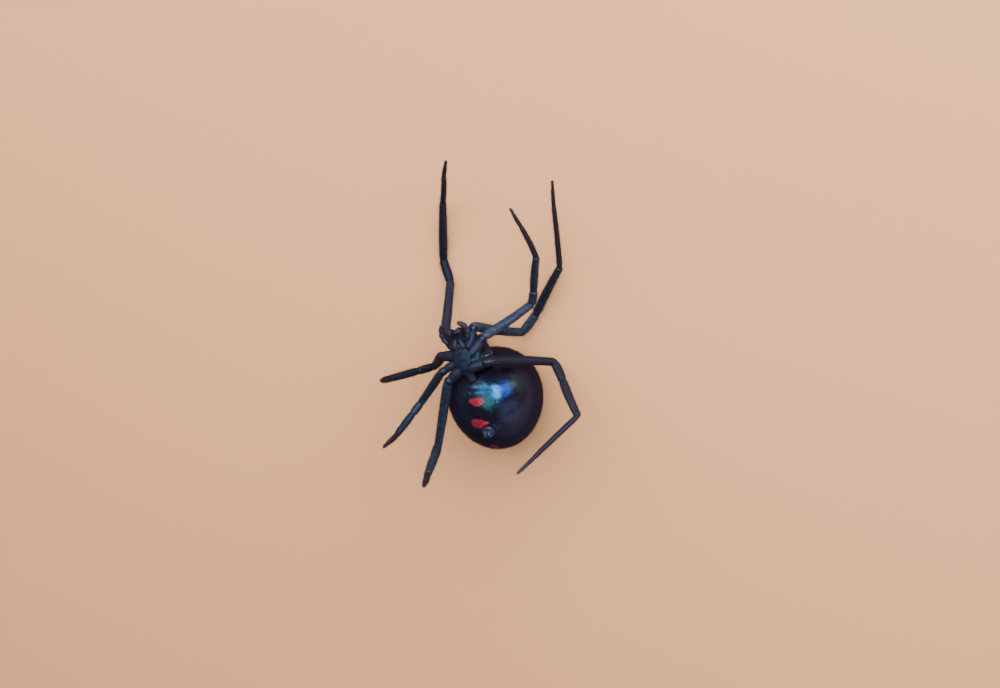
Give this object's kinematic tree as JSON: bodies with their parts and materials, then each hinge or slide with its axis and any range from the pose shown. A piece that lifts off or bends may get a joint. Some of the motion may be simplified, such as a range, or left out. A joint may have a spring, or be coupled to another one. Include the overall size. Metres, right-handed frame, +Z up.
{
  "type": "spider model",
  "caption": "Life-size still model of an adult female widow spider lying on its back, belly and hourglass marks up, long legs raised as on a web.",
  "frame": {"origin": "middle of the small flat on the back of the abdomen, on which the model rests", "axes": "+Z up, out of the belly side; +Y from the spinnerets towards the head; +X towards the spider's left side"},
  "size_m": [0.0179, 0.0263, 0.0193],
  "materials": {
    "abdomen_cuticle": "glossy black cuticle with red marks",
    "body_cuticle": "satin black cuticle",
    "leg_cuticle": "glossy black cuticle with fine hairs",
    "leg_end_cuticle": "glossy dark brown cuticle with fine hairs"
  },
  "bodies": {
    "root": {"abdomen": "abdomen_cuticle", "spinnerets": "abdomen_cuticle", "cephalothorax": "body_cuticle", "chelicera_left": "body_cuticle", "chelicera_right": "body_cuticle", "palp_left": "body_cuticle", "palp_right": "body_cuticle", "leg_left_1_femur": "leg_cuticle", "leg_left_1_patella": "leg_cuticle", "leg_left_1_tibia": "leg_cuticle", "leg_left_1_metatarsus": "leg_end_cuticle", "leg_left_1_tarsus": "leg_end_cuticle", "leg_left_2_femur": "leg_cuticle", "leg_left_2_patella": "leg_cuticle", "leg_left_2_tibia": "leg_cuticle", "leg_left_2_metatarsus": "leg_end_cuticle", "leg_left_2_tarsus": "leg_end_cuticle", "leg_left_3_femur": "leg_cuticle", "leg_left_3_patella": "leg_cuticle", "leg_left_3_tibia": "leg_cuticle", "leg_left_3_metatarsus": "leg_end_cuticle", "leg_left_3_tarsus": "leg_end_cuticle", "leg_left_4_femur": "leg_cuticle", "leg_left_4_patella": "leg_cuticle", "leg_left_4_tibia": "leg_cuticle", "leg_left_4_metatarsus": "leg_end_cuticle", "leg_left_4_tarsus": "leg_end_cuticle", "leg_right_1_femur": "leg_cuticle", "leg_right_1_patella": "leg_cuticle", "leg_right_1_tibia": "leg_cuticle", "leg_right_1_metatarsus": "leg_end_cuticle", "leg_right_1_tarsus": "leg_end_cuticle", "leg_right_2_femur": "leg_cuticle", "leg_right_2_patella": "leg_cuticle", "leg_right_2_tibia": "leg_cuticle", "leg_right_2_metatarsus": "leg_end_cuticle", "leg_right_2_tarsus": "leg_end_cuticle", "leg_right_3_femur": "leg_cuticle", "leg_right_3_patella": "leg_cuticle", "leg_right_3_tibia": "leg_cuticle", "leg_right_3_metatarsus": "leg_end_cuticle", "leg_right_3_tarsus": "leg_end_cuticle", "leg_right_4_femur": "leg_cuticle", "leg_right_4_patella": "leg_cuticle", "leg_right_4_tibia": "leg_cuticle", "leg_right_4_metatarsus": "leg_end_cuticle", "leg_right_4_tarsus": "leg_end_cuticle"}
  },
  "joints": []
}
